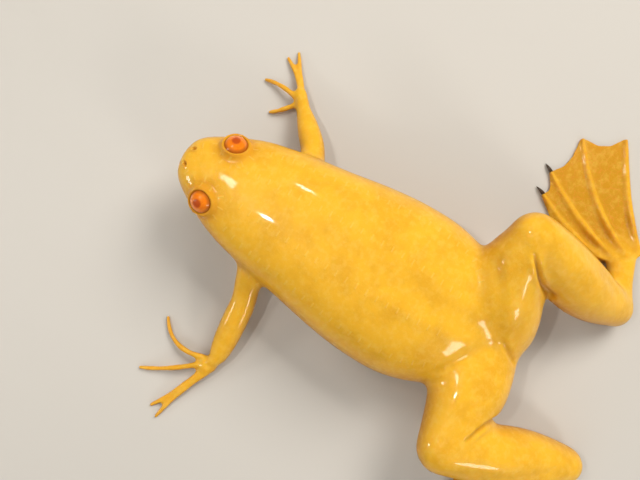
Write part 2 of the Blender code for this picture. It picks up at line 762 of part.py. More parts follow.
def sheet_solid(name, top, sole):
    """A closed solid between two matching grids of points."""
    rows, wide = len(top[0]), len(top)
    points = [p for column in top for p in column] + [p for column in sole for p in column]
    below = rows * wide
    faces = []
    for c in range(wide - 1):
        for r in range(rows - 1):
            a, b = c * rows + r, (c + 1) * rows + r
            faces.append((a, b, b + 1))
            faces.append((a, b + 1, a + 1))
            faces.append((below + a, below + b + 1, below + b))
            faces.append((below + a, below + a + 1, below + b + 1))
    rim = [c * rows for c in range(wide)]
    rim += [(wide - 1) * rows + r for r in range(1, rows)]
    rim += [c * rows + rows - 1 for c in range(wide - 2, -1, -1)]
    rim += [r for r in range(rows - 2, 0, -1)]
    for i, a in enumerate(rim):
        b = rim[(i + 1) % len(rim)]
        faces.append((a, below + a, below + b))
        faces.append((a, below + b, b))
    return mesh_object(name, points, faces)


def claw(side, order):
    """The horny tip of one of the three inner toes, just clear of the toe."""
    tip = toe_centre(side, order, 1.0)
    ahead = (tip - toe_centre(side, order, 0.9)).normalized()
    start = tip + ahead * GAP
    points, radii = [], []
    for share, size in ((0.0, 1.0), (0.3, 0.85), (0.65, 0.55), (0.95, 0.18)):
        height = CLAW_RADIUS * 1.15 - 0.25 * share
        points.append(Vector((start.x, start.y, height)) + ahead * (CLAW_LENGTH * share))
        radii.append(CLAW_RADIUS * size)
    made = tube(f"claw_{side}_{order + 1}", points, radii, 8)
    return flat_start(made, start, ahead)


def flat_start(obj, point, way):
    """Trims whatever of an object reaches back past a plane."""
    up = Vector((0.0, 0.0, 1.0))
    box = block("trim", point - way * 4.0, way, up, (4.0, 4.0, 4.0))
    return combine(obj, [box], "DIFFERENCE")


def material(name, colour, roughness):
    made = bpy.data.materials.get(name)
    if made is None:
        made = bpy.data.materials.new(name)
        made.use_nodes = True
        shader = made.node_tree.nodes["Principled BSDF"]
        shader.inputs["Base Color"].default_value = (*colour, 1.0)
        shader.inputs["Roughness"].default_value = roughness
        shader.inputs["Metallic"].default_value = 0.0
    return made


def finish_node(obj, name, look):
    """Names a finished solid, gives it its look and scales it to metres."""
    obj.name = name
    obj.data.transform(Matrix.Scale(MM, 4))
    obj.data.materials.clear()
    obj.data.materials.append(material(*look))
    obj.data.shade_smooth()
    obj.data.update()


def main():
    for obj in list(bpy.data.objects):
        bpy.data.objects.remove(obj)
    nodes = flesh()
    head_features(nodes["head"])
    for name, obj in nodes.items():
        finish_node(obj, name, SKIN)
    for side in SIDES:
        finish_node(ball("eye", eye_place(side), (EYE_RADIUS,) * 3, 16, 10), f"eye_{side}", EYE)
        finish_node(hand(side), f"hand_{side}", SKIN)
        made = foot(side)
        combine(made, [end_block(side, "instep", False)], "DIFFERENCE")
        finish_node(keep_largest(made), f"foot_{side}", WEB)
        for order in CLAWED_TOES:
            finish_node(claw(side, order), f"claw_{side}_{order + 1}", CLAW)


if __name__ == "__main__":
    main()
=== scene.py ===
"""An African clawed frog, pale form, life size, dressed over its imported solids."""

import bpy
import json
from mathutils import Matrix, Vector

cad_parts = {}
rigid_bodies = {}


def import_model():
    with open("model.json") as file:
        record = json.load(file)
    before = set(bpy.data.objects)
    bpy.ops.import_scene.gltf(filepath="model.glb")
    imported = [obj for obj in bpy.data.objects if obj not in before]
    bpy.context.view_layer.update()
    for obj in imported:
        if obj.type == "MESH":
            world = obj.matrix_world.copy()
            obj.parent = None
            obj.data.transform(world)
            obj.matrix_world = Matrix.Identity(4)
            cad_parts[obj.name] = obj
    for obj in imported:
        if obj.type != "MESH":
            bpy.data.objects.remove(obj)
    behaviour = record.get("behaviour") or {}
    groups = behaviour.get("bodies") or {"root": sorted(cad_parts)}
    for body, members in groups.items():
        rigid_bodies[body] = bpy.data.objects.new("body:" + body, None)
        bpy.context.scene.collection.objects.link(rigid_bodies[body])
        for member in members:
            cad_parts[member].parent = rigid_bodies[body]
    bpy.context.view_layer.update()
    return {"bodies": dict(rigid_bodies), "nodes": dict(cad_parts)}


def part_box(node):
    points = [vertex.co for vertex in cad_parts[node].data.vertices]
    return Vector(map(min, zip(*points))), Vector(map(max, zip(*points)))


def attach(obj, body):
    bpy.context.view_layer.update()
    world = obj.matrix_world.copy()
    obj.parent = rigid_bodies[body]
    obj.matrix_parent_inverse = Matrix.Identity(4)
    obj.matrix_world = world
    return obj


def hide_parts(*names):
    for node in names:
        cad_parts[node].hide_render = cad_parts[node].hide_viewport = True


bl_info = {
    "name": "African clawed frog",
    "version": (1, 0, 0),
    "blender": (4, 5, 0),
    "location": "3D View > Sidebar > Frog",
    "description": "Models the skin, eyes and claws of a still African clawed frog",
    "category": "Object",
}

import json
import math

import bmesh
import bpy
import numpy as np
from bpy.props import FloatProperty, FloatVectorProperty, IntProperty, PointerProperty
from mathutils import Matrix, Vector
from mathutils.bvhtree import BVHTree
from mathutils.kdtree import KDTree

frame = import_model()

BODY = next(iter(frame["bodies"]))
SIDES = {"right": -1.0, "left": 1.0}
FLESH = [name for name in frame["nodes"] if not name.startswith(("eye", "claw"))]
MM = 0.001

# Places on the frog are in millimetres: x to its left, y towards its rump, z up.
EYE_CENTRE = (8.2, -51.4, 22.1)
EYE_LOOK = (0.5, -0.15, 0.85)
CORNEA_REACH = 3.7
BEHIND_IRIS = 9.0
# Flesh under each eyeball, cut off level below the rim of the lids.
EYE_BED_RADIUS = 4.4
EYE_BED_TOP = 1.4
# The lids end just inside the eyeball's surface. Lower down they cover it wholly.
LID_REACH = CORNEA_REACH - 0.04
LID_OPENING = 2.4
COVER_REACH = CORNEA_REACH + 0.25
COVER_OPENING = 3.0
COVER_TOP = 1.3
# The groove round the lids: its radius, its width, its depth and how much deeper its outer side is.
GROOVE_RADIUS = 5.0
GROOVE_WIDTH = 0.55
GROOVE_DEPTH = 0.10
GROOVE_OUTER = 0.28

MOUTH_BACK = -44.0
MOUTH_FRONT_LEVEL = 17.6
MOUTH_CORNER_LEVEL = 14.2
MOUTH_SWEEP = 86.0
MOUTH_PLACES = 41
MOUTH_CURVE = 1.6
MOUTH_HALF_WIDTH = 14.0
MOUTH_LINE_WIDTH = 0.27
MOUTH_CORNER_FADE = (0.3, 3.5)
MOUTH_CORNER_SHARE = 0.25
# How far the lips' crests lie from the mouth's line, their width, and the lower lip's share.
LIP_AWAY = 0.85
LIP_WIDTH = 0.5
LOWER_LIP = 0.55
# A nostril's place, its slant, how it is stretched along and upwards, its depth and its rim.
NOSTRIL = (2.35, -61.2)
NOSTRIL_SLANT = 0.35
NOSTRIL_STRETCH = (0.62, 0.5)
NOSTRIL_DEPTH = 0.75
RIM_RADII = 1.9
RIM_WIDTH = 0.3
RIM_HEIGHT = 0.17
# Reaches round the mouth and the nostrils within which the skin is divided finer, one by one.
FINE_REACHES = (1.3, 0.8)
NOSTRIL_MARGIN = 0.3

# Insteps on the floor plan, and the way each foot points, turned outwards from straight ahead.
INSTEP = {"right": (-42.4, 60.0), "left": (32.4, 73.0)}
FOOT_HEADING = {"right": 35.0, "left": 60.0}
FOOT_REACH = 34.0
FOOT_MARGIN = 1.5
HAND_MARGIN = 1.0
OFF_FOOT = -99.0
# The top of the web: its height at the instep, how far it sinks, how soon and on what curve.
WEB_TOP = 4.2
WEB_SINKS = 3.25
WEB_HASTE = 2.6
WEB_CURVE = 0.7

# Creases in the bend of the knees, seen on the floor plan, that open into the notch between thigh
# and shank: points, lowest height, width and depth at the first point and at the last.
CREASES = (
    (((-24.5, 29.3), (-23.0, 30.8), (-21.6, 32.8), (-20.1, 35.4), (-19.2, 38.3), (-18.8, 41.0),
      (-18.5, 42.6)), 8.0, (0.55, 0.5), (0.9, 1.7)),
    (((27.2, 41.4), (24.8, 42.2), (22.3, 43.2), (20.0, 44.6), (18.3, 46.4), (16.6, 48.6)),
     8.0, (0.55, 0.35), (0.9, 1.3)),
)
CREASE_WIDENS = 1.6
CREASE_DEEPENS = 1.3
CREASE_RISE = 0.28
CREASE_HEIGHT_FADE = 4.0
# Folds of the skin: points on the floor plan, width, depth at the first and the last point, how
# high the sides swell and how much painted shade darkens the fold.
FOLDS = (
    (((-20.4, 20.2), (-16.7, 24.2), (-12.2, 28.1), (-7.0, 32.2), (-2.1, 34.8)), 1.9, 0.5, 0.22, 0.08, 0.1),
    (((19.4, 26.1), (14.7, 26.7), (9.8, 29.5), (4.2, 33.4), (-0.8, 36.4)), 1.9, 0.5, 0.22, 0.08, 0.1),
    (((-2.2, 36.4), (-0.6, 39.0), (0.5, 41.3), (1.6, 44.2)), 0.8, 0.35, 0.7, 0.15, 0.35),
    (((0.0, -30.0), (0.0, -12.0), (0.0, 6.0), (0.0, 20.0)), 2.4, 0.22, 0.3, 0.0, 0.0),
    (((-10.0, 35.0), (-15.5, 30.5), (-21.0, 27.6), (-25.6, 27.0)), 2.0, 0.3, 0.3, 0.08, 0.0),
    (((10.0, 37.5), (17.0, 36.4), (24.0, 36.0), (30.5, 36.4)), 2.0, 0.3, 0.3, 0.08, 0.0),
    (((-30.2, 35.0), (-32.2, 44.0), (-31.6, 54.0), (-29.6, 61.0)), 1.8, 0.2, 0.4, 0.08, 0.0),
    (((34.6, 44.0), (31.0, 54.0), (25.6, 64.0), (20.6, 71.0)), 1.8, 0.2, 0.4, 0.08, 0.0),
)
# Low swellings under the skin, of the hip bones beside the rump: points, width and height.
SWELLINGS = (
    (((-5.8, 2.0), (-5.6, 14.0), (-3.8, 28.0)), 2.2, 0.34),
    (((5.8, 2.0), (5.6, 14.0), (3.8, 28.0)), 2.2, 0.34),
)
# Rows of sense organs on one side, given near the surface and snapped onto it.
ROWS = (
    ((11.6, -43.6, 24.0), (13.6, -36.0, 24.0), (15.6, -24.0, 25.0), (17.6, -10.0, 25.0),
     (18.6, 4.0, 25.0), (17.0, 16.0, 24.0), (12.6, 26.0, 22.0)),
    ((4.6, -43.0, 27.0), (5.6, -30.0, 28.0), (6.6, -12.0, 29.0), (6.6, 4.0, 29.0), (5.4, 20.0, 26.0)),
    ((15.8, -37.0, 13.0), (19.6, -22.0, 12.0), (22.6, -8.0, 11.0), (23.8, 6.0, 11.0), (21.0, 18.0, 10.0)),
    ((3.4, -60.6, 22.0), (5.4, -57.6, 23.0), (4.8, -52.0, 25.0), (4.0, -47.0, 26.0)),
)
EYE_ROW_RADIUS = 5.9
EYE_ROW_PLACES = 33
ROW_STEP = 0.5
ROW_REACH = 3.0
OFF_ROW = 9.0

# How strongly the skin is drawn smooth over each part of the flesh, round the eyes, and at the
# least on the insteps up to their end.
EVENNESS = {
    "torso": 1.0, "head": 0.75, "thigh": 1.0, "shank": 1.0, "tarsus": 0.55,
    "upper_arm": 0.8, "forearm": 0.6, "hand": 0.035, "foot": 0.035,
}
EYE_EVENNESS = 0.2
EYE_CALM = (5.0, 8.5)
INSTEP_EVENNESS = 0.55
INSTEP_END = 10.0
INSTEP_FADE = 8.0
# Smoothing, each as the share of the way to the neighbours' mean and the rounds: of the evenness
# itself, of the built squares, of the whole skin and of the lids' rims.
BLENDING = (0.6, 25)
SOFTENING = (0.5, 2)
SMOOTHING = (0.9, 60)
RIM_SMOOTHING = (0.6, 8)
SHRINKAGE = 0.20
MARK_SOFTNESS = 0.6

# How far off the rays towards the skin start, and what counts as near no line.
FAR_OUT = 60.0
NOT_NEAR = 99.0
TINY = 1e-6

# A claw starts inside its toe, rises a little, then droops and narrows to its point; in metres.
CLAW_SUNK = 0.0009
CLAW_NARROWS = (1.04, 1.0, 0.95, 0.9, 0.83, 0.74, 0.6, 0.3)
CLAW_RISING = 3
CLAW_RISE = 0.00005
CLAW_DROOP = 0.00003
CLAW_END = 0.0002
CLAW_LOWEST = 0.00002

# Colours laid over the skin one after another: where, how strongly, and which.
# The tint of the sides is painted shade: deeper amber where the skin turns away from the light above.
SKIN_TINTS = (
    ("belly", 0.85, "belly"), ("sides", 0.85, "sides"), ("web", 0.85, "web"), ("toes", 0.75, "back"),
    ("blush", 0.42, "blush"),
)
# Soft patches, small clouds and fine specks: scale, detail, range, share of the strength, colour.
MOTTLES = (
    (0.11, 4.0, (0.40, 0.68), 1.0, "Dark"),
    (0.55, 3.0, (0.42, 0.70), 0.55, "Light"),
    (2.6, 2.0, (0.60, 0.72), 0.45, "Light"),
)

# Lamps: name, place, size, power, and whether the wet skin mirrors the lamp.
LAMPS = (
    ("key", (-0.50, 0.10, 0.48), 0.36, 4.2, False),
    ("fill", (0.45, -0.10, 0.50), 0.50, 0.6, False),
    ("head_glint", (-0.013, -0.241, 0.375), 0.048, 0.17, True),
    ("eye_glint", (0.05, -0.16, 0.40), 0.014, 0.26, True),
    ("rump_glint", (0.145, 0.351, 0.213), 0.085, 0.37, True),
    ("thigh_glint", (0.190, -0.300, 0.140), 0.050, 0.19, True),
    ("top_glint", (-0.26, -0.14, 0.36), 0.026, 0.09, True),
)
LAMP_COLOUR = (1.0, 0.95, 0.87)
SKY_COLOUR = (0.9, 0.88, 0.84, 1.0)
SKY_STRENGTH = 0.19
FLOOR_SIZE = 2.4
# The camera stands almost straight above the frog.
CAMERA_PLACE = (10.54, -12.94, 207.24)
CAMERA_AZIMUTH = 121.6
CAMERA_ELEVATION = 86.5
CAMERA_LENS = 38.59
CAMERA_SENSOR = 36.0
CAMERA_NEAREST = 0.01


class FrogSizes(bpy.types.PropertyGroup):
    skin_grain: FloatProperty(
        name="Skin grain", description="Edge of the small squares that the skin is built from, mm",
        default=0.36, min=0.25, max=1.0)
    bridge: FloatProperty(
        name="Bridge", description="How far neighbouring solids are swollen so that they join, mm",
        default=0.34, min=0.2, max=0.6)
    skin_triangles: IntProperty(
        name="Skin triangles", description="Most triangles the finished skin may have",
        default=170000, min=20000, max=195000)
    eye_radius: FloatProperty(
        name="Eye radius", description="Radius of the eyeball",
        default=(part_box("eye_left")[1].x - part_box("eye_left")[0].x) / 2, unit="LENGTH")
    pupil_radius: FloatProperty(
        name="Pupil radius", description="Radius of the round pupil, mm", default=1.25)
    nostril_radius: FloatProperty(
        name="Nostril radius", description="Half width of a nostril, mm", default=0.34)
    lip_height: FloatProperty(
        name="Lip height", description="How far the lips stand out beside the mouth, mm", default=0.16)
    mouth_depth: FloatProperty(
        name="Mouth depth", description="Depth of the closed line of the mouth, mm", default=0.5)
    stitch_spacing: FloatProperty(
        name="Stitch spacing", description="Distance between two sense organs of a row, mm", default=3.1)
    stitch_length: FloatProperty(
        name="Stitch length", description="Half length of one sense organ of a row, mm", default=0.85)
    claw_length: FloatProperty(
        name="Claw length", description="Length of a claw beyond the toe",
        default=0.0026, unit="LENGTH")
    claw_radius: FloatProperty(
        name="Claw radius", description="Radius of a claw at its root", default=0.00056, unit="LENGTH")


def colour_property(name, description, default):
    return FloatVectorProperty(name=name, description=description, subtype="COLOR", size=3, default=default)


class FrogColours(bpy.types.PropertyGroup):
    back: colour_property("Back", "Golden yellow of the back", (0.90, 0.49, 0.028))
    mottle: colour_property("Mottle", "Olive yellow of the soft patches", (0.66, 0.31, 0.012))
    # Painted shade: the sides are coloured a deeper amber where the body turns away from the light above.
    sides: colour_property(
        "Sides", "Deep amber where the body turns away to the sides", (0.50, 0.19, 0.001))
    # Painted shade: a darker brownish orange on the skin round each eye, where shade falls about its bulge.
    lids: colour_property("Lids", "Brownish orange round the eyes", (0.66, 0.25, 0.010))
    belly: colour_property("Belly", "Pale cream of the underside", (0.88, 0.62, 0.20))
    blush: colour_property(
        "Blush", "Warm pink where blood shows, on lips, nostrils and finger tips", (0.80, 0.27, 0.05))
    web: colour_property("Web", "Greenish yellow of the thin webs", (0.57, 0.27, 0.012))
    pale: colour_property(
        "Pale specks", "Pale yellow of specks, clouds and sense organs", (0.95, 0.66, 0.14))
    # Painted shade: deep orange laid into folds, creases, hollows, the mouth's line and the nostrils.
    folds: colour_property("Folds", "Deep orange in folds", (0.42, 0.15, 0.01))
    iris: colour_property("Iris", "Orange of the iris", (0.88, 0.21, 0.002))
    iris_bright: colour_property("Iris rays", "Brighter rays of the iris", (0.95, 0.36, 0.004))
    iris_rim: colour_property("Iris rim", "Dark outer edge of the iris", (0.46, 0.12, 0.004))
    pupil: colour_property("Pupil", "Red of the unpigmented pupil", (0.52, 0.075, 0.003))
    claw_brown: colour_property(
        "Claw patches", "Brown of the paler patches of a claw", (0.12, 0.06, 0.03))
    claw: colour_property("Claw", "Dark horn of the claws", (0.035, 0.022, 0.014))
    floor: colour_property("Floor", "Pale floor", (0.62, 0.60, 0.57))


def sizes():
    return bpy.context.scene.frog_sizes


def colours():
    return bpy.context.scene.frog_colours


def kind(node):
    """The part of the body that a solid belongs to, without its side."""
    return node.replace("_left", "").replace("_right", "")


def eye_centre(side):
    return Vector((SIDES[side] * EYE_CENTRE[0], EYE_CENTRE[1], EYE_CENTRE[2]))


def eye_look(side):
    return Vector((SIDES[side] * EYE_LOOK[0], EYE_LOOK[1], EYE_LOOK[2])).normalized()


def eye_place(side, unit):
    """Takes a ball from the origin into its eye, its pole turned the way that the eye looks."""
    turn = eye_look(side).to_track_quat("Z", "Y").to_matrix().to_4x4()
    return Matrix.Translation(eye_centre(side) * unit) @ turn


def clear_selection():
    bpy.ops.object.select_all(action="DESELECT")


def make_active(obj):
    clear_selection()
    obj.select_set(True)
    bpy.context.view_layer.objects.active = obj


def apply_modifier(obj, kind_of, **settings):
    make_active(obj)
    added = obj.modifiers.new(kind_of.lower(), kind_of)
    for key, value in settings.items():
        setattr(added, key, value)
    bpy.ops.object.modifier_apply(modifier=added.name)


def read_values(items, key, width, dtype):
    """One value of every item of a mesh, as rows of the given width."""
    flat = np.empty(len(items) * width, dtype)
    items.foreach_get(key, flat)
    return flat.reshape(-1, width)


def points_of(obj):
    return read_values(obj.data.vertices, "co", 3, np.float32).astype(float)


def normals_of(obj):
    return read_values(obj.data.vertices, "normal", 3, np.float32).astype(float)


def edges_of(obj):
    return read_values(obj.data.edges, "vertices", 2, np.int32)


def set_points(obj, points):
    obj.data.vertices.foreach_set("co", points.astype(np.float32).ravel())
    obj.data.update()


def set_attribute(obj, name, values):
    layer = obj.data.attributes.get(name) or obj.data.attributes.new(name, "FLOAT", "POINT")
    layer.data.foreach_set("value", np.asarray(values, np.float32))


def neighbour_mean(values, edges):
    """Mean of a value over each point's neighbours."""
    a, b = edges[:, 0], edges[:, 1]
    count = np.bincount(a, minlength=len(values)) + np.bincount(b, minlength=len(values))
    columns = values if values.ndim == 2 else values[:, None]
    mean = np.stack([
        np.bincount(a, weights=column[b], minlength=len(values))
        + np.bincount(b, weights=column[a], minlength=len(values))
        for column in columns.T], axis=1) / np.maximum(count, 1)[:, None]
    return mean if values.ndim == 2 else mean[:, 0]


def relax(values, edges, weight, rounds):
    """Draws each value towards its neighbours' mean, by its weight, round after round."""
    weight = np.broadcast_to(weight, len(values))
    weight = weight[:, None] if values.ndim == 2 else weight
    for _ in range(rounds):
        values = values + weight * (neighbour_mean(values, edges) - values)
    return values


def hill(distance, width):
    """A soft bump that is 1 at no distance and falls away over the width."""
    return np.exp(-(distance / width) ** 2)


def step(value, low, high):
    """0 up to the low value and 1 from the high one, with a smooth rise between them."""
    share = np.clip((value - low) / (high - low), 0.0, 1.0)
    return share * share * (3 - 2 * share)


def distance_to(points, place):
    return np.linalg.norm(points - np.array(place), axis=1)


def inside_box(points, box, margin):
    """Which points lie in a box given in metres, or nearer to it than the margin."""
    low, high = (np.array(corner) / MM for corner in box)
    return ((points > low - margin) & (points < high + margin)).all(axis=1)


def tree_of(places):
    tree = KDTree(len(places))
    for i, place in enumerate(places):
        tree.insert(place, i)
    tree.balance()
    return tree


def seen_from_eye(points, side):
    """The way to each point from an eye's centre, how far it is, how far ahead and how far aside."""
    look = np.array(eye_look(side))
    way = points - np.array(eye_centre(side))
    ahead = way @ look
    aside = np.linalg.norm(way - ahead[:, None] * look, axis=1)
    return way, np.linalg.norm(way, axis=1), ahead, aside


def add_mesh(made, part, name):
    """Adds one bmesh to another and frees it."""
    copy = bpy.data.meshes.new(name)
    part.to_mesh(copy)
    part.free()
    made.from_mesh(copy)
    bpy.data.meshes.remove(copy)


def swollen_copies():
    """One mesh, in millimetres, of the flesh solids grown until they meet, and the eyes' beds."""
    grow = sizes().bridge
    made = bmesh.new()
    for name in FLESH:
        part = bmesh.new()
        part.from_mesh(frame["nodes"][name].data)
        bmesh.ops.remove_doubles(part, verts=part.verts, dist=TINY)
        bmesh.ops.scale(part, vec=(1 / MM,) * 3, verts=part.verts)
        part.normal_update()
        moved = [v.co + v.normal * grow for v in part.verts]
        for v, co in zip(part.verts, moved):
            v.co = co
        add_mesh(made, part, name)
    for side in SIDES:
        add_mesh(made, eye_bed(side), "bed")
    mesh = bpy.data.meshes.new("frog_skin")
    made.to_mesh(mesh)
    made.free()
    skin = bpy.data.objects.new("frog_skin", mesh)
    bpy.context.scene.collection.objects.link(skin)
    return skin


def eye_bed(side):
    """Flesh that bears an eyeball, cut off level below the rim of the lids."""
    bed = bmesh.new()
    bmesh.ops.create_icosphere(bed, subdivisions=4, radius=EYE_BED_RADIUS)
    for v in bed.verts:
        v.co.z = min(v.co.z, EYE_BED_TOP)
    bed.transform(eye_place(side, 1.0))
    return bed


def evenness(points):
    """How much each point of the skin may be smoothed, from the solid it lies nearest to."""
    places, shares = [], []
    for name in FLESH:
        for v in frame["nodes"][name].data.vertices:
            places.append(v.co / MM)
            shares.append(EVENNESS[kind(name)])
    tree = tree_of(places)
    weight = np.array([shares[tree.find(Vector(point))[1]] for point in points])
    for side in SIDES:
        away = distance_to(points, eye_centre(side))
        weight *= EYE_EVENNESS + (1 - EYE_EVENNESS) * step(away, *EYE_CALM)
        along = past_instep(points, side)
        least = INSTEP_EVENNESS * step(INSTEP_END - along, 0.0, INSTEP_FADE)
        weight = np.where(along > OFF_FOOT, np.maximum(weight, least), weight)
    return weight


def foot_way(side):
    angle = math.radians(FOOT_HEADING[side])
    return np.array((SIDES[side] * math.sin(angle), -math.cos(angle)))


def past_instep(points, side):
    """How far each point lies beyond a foot's instep, or OFF_FOOT."""
    along = (points[:, :2] - np.array(INSTEP[side])) @ foot_way(side)
    return np.where(inside_box(points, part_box(f"foot_{side}"), FOOT_MARGIN), along, OFF_FOOT)


def web_top(along):
    """How high the web stands, from the instep to its edge."""
    share = np.clip(along / FOOT_REACH, 0.0, 1.0)
    return WEB_TOP - WEB_SINKS * np.minimum(1.0, share * WEB_HASTE) ** WEB_CURVE


def beside_line(points, line, reach):
    """Each point's distance from a line through places, and the share of the line it is beside."""
    line = np.array(line, float)
    away, beside = np.full(len(points), NOT_NEAR), np.zeros(len(points))
    near = ((points > line.min(0) - reach) & (points < line.max(0) + reach)).all(axis=1)
    close = points[near]
    best, best_share = np.full(len(close), NOT_NEAR), np.zeros(len(close))
    for k, (a, b) in enumerate(zip(line[:-1], line[1:])):
        way = b - a
        share = np.clip((close - a) @ way / (way @ way), 0.0, 1.0)
        distance = np.linalg.norm(close - a - share[:, None] * way, axis=1)
        best_share = np.where(distance < best, (k + share) / (len(line) - 1), best_share)
        best = np.minimum(best, distance)
    away[near], beside[near] = best, best_share
    return away, beside


def line_distance(points, line, reach):
    return beside_line(points, line, reach)[0]


def crease_width(beside, first, last):
    return first + (last - first) * beside ** CREASE_WIDENS


def fold_depth(beside, first, last):
    """A fold's depth along it, fading in where it starts and ends."""
    depth = first + (last - first) * beside ** 1.5
    return depth * step(beside, -0.02, 0.22) * step(1.0 - beside, -0.1, 0.12)


def surface_of(skin):
    mesh = skin.data
    return BVHTree.FromPolygons([v.co for v in mesh.vertices], [p.vertices for p in mesh.polygons])


def hit_from_above(surface, x, y):
    return surface.ray_cast(Vector((x, y, FAR_OUT)), Vector((0.0, 0.0, -1.0)))[0]


def dropped(surface, line):
    """A line on the floor plan, laid onto the skin from above and divided finely."""
    plan = np.array(line, float)
    fine = []
    for a, b in zip(plan[:-1], plan[1:]):
        fine += [a + (b - a) * share for share in (0.0, 0.25, 0.5, 0.75)]
    fine.append(plan[-1])
    hits = [hit_from_above(surface, x, y) for x, y in fine]
    return [tuple(hit) for hit in hits if hit is not None]


def mouth_line(surface):
    """Places along the closed mouth, from the right corner to the left."""
    line = []
    for angle in np.linspace(-MOUTH_SWEEP, MOUTH_SWEEP, MOUTH_PLACES):
        share = abs(angle) / MOUTH_SWEEP
        level = MOUTH_FRONT_LEVEL + (MOUTH_CORNER_LEVEL - MOUTH_FRONT_LEVEL) * share ** MOUTH_CURVE
        way = Vector((math.sin(math.radians(angle)), -math.cos(math.radians(angle)), 0.0))
        hit = surface.ray_cast(Vector((0.0, MOUTH_BACK, level)) + way * FAR_OUT, -way)[0]
        line.append(tuple(hit))
    return line


def nostrils(surface):
    """The middle of each nostril, on the skin near the snout's tip."""
    return [np.array(hit_from_above(surface, sign * NOSTRIL[0], NOSTRIL[1])) for sign in SIDES.values()]


def refine(skin, chosen):
    """Divides the edges whose two points are chosen."""
    work = bmesh.new()
    work.from_mesh(skin.data)
    work.verts.ensure_lookup_table()
    edges = [e for e in work.edges if chosen[e.verts[0].index] and chosen[e.verts[1].index]]
    bmesh.ops.subdivide_edges(work, edges=edges, cuts=1, use_grid_fill=True)
    work.to_mesh(skin.data)
    work.free()
    skin.data.update()


def build_skin():
    """The finished skin in millimetres, with the mouth's line and the nostrils' middles."""
    skin = swollen_copies()
    apply_modifier(skin, "REMESH", mode="VOXEL", voxel_size=sizes().skin_grain, adaptivity=0.0)
    draw_smooth(skin)
    surface = surface_of(skin)
    mouth, holes = mouth_line(surface), nostrils(surface)
    for reach in FINE_REACHES:
        points = points_of(skin)
        near = line_distance(points, mouth, reach) < reach
        for hole in holes:
            near |= distance_to(points, hole) < reach + NOSTRIL_MARGIN
        refine(skin, near)
    shape_trunk_and_legs(skin, surface)
    shape_head(skin, mouth, holes)
    thin_skin(skin)
    return skin, mouth, holes


def draw_smooth(skin):
    """Smooths the joined copies, and draws them back by as much as they were grown."""
    points, edges = points_of(skin), edges_of(skin)
    weight = relax(evenness(points), edges, *BLENDING)
    points = relax(points, edges, *SOFTENING)
    share, rounds = SMOOTHING
    points = relax(points, edges, weight * share, rounds)
    set_points(skin, points)
    points = points - normals_of(skin) * (sizes().bridge - SHRINKAGE * weight)[:, None]
    points[:, 2] = np.maximum(points[:, 2], 0.0)
    set_points(skin, points)


def shape_trunk_and_legs(skin, surface):
    """Folds at the joints and rump, muscle edges and the hip bones' swellings."""
    points, normals = points_of(skin), normals_of(skin)
    for line, floor, first, last in CREASES:
        away, beside = beside_line(points[:, :2], line, 6.0)
        width = crease_width(beside, first[0], last[0])
        depth = (first[1] + (last[1] - first[1]) * beside ** CREASE_DEEPENS) * step(beside, -0.02, 0.15)
        depth = depth * step(points[:, 2], floor, floor + CREASE_HEIGHT_FADE)
        rise = hill(away - width * 2.0, width * 1.2) * step(beside, 0.0, 0.3) * step(0.8 - beside, 0.0, 0.3)
        points += normals * (CREASE_RISE * rise - depth * hill(away, width))[:, None]
    set_points(skin, points)
    normals = normals_of(skin)
    for line, width, first, last, swell, _ in FOLDS:
        away, beside = beside_line(points, dropped(surface, line), width * 5)
        depth = fold_depth(beside, first, last)
        rise = swell * hill(away - width * 2.1, width * 1.3) * step(beside, 0.0, 0.4)
        rise = rise * step(1.0 - beside, 0.0, 0.4)
        points += normals * (rise - depth * hill(away, width))[:, None]
    for line, width, height in SWELLINGS:
        away = line_distance(points, dropped(surface, line), width * 4)
        points += normals * (height * hill(away, width))[:, None]
    set_points(skin, points)


def shape_head(skin, mouth, holes):
    """Closed mouth with lips, open nostrils, and lids that hug the eyes."""
    points, normals = points_of(skin), normals_of(skin)
    press_mouth(points, normals, mouth)
    for hole in holes:
        open_nostril(points, normals, hole)
    for side in SIDES:
        draw_lids(points, normals, side)
    set_points(skin, points)
    points, edges = points_of(skin), edges_of(skin)
    for side in SIDES:
        settle_lids(points, edges, side)
    set_points(skin, points)


def press_mouth(points, normals, mouth):
    """Presses the line of the mouth in between its lips."""
    away = line_distance(points, mouth, 3.5)
    from_end = np.minimum(distance_to(points, mouth[0]), distance_to(points, mouth[-1]))
    share = MOUTH_CORNER_SHARE + (1 - MOUTH_CORNER_SHARE) * step(from_end, *MOUTH_CORNER_FADE)
    level = np.interp(np.abs(points[:, 0]), (0.0, MOUTH_HALF_WIDTH), (MOUTH_FRONT_LEVEL, MOUTH_CORNER_LEVEL))
    lip = sizes().lip_height * np.where(points[:, 2] > level, 1.0, LOWER_LIP)
    rise = lip * hill(away - LIP_AWAY, LIP_WIDTH) - sizes().mouth_depth * hill(away, MOUTH_LINE_WIDTH)
    points += normals * (rise * share)[:, None]


def open_nostril(points, normals, hole):
    """Sinks a nostril into the snout inside a low rim."""
    way = points - hole
    across = way[:, 0] - NOSTRIL_SLANT * way[:, 1] * np.sign(hole[0])
    along, up = way[:, 1] * NOSTRIL_STRETCH[0], way[:, 2] * NOSTRIL_STRETCH[1]
    away = np.sqrt(across ** 2 + along ** 2 + up ** 2)
    radius = sizes().nostril_radius
    rim = RIM_HEIGHT * hill(away - radius * RIM_RADII, RIM_WIDTH)
    points += normals * (rim - NOSTRIL_DEPTH * hill(away, radius))[:, None]


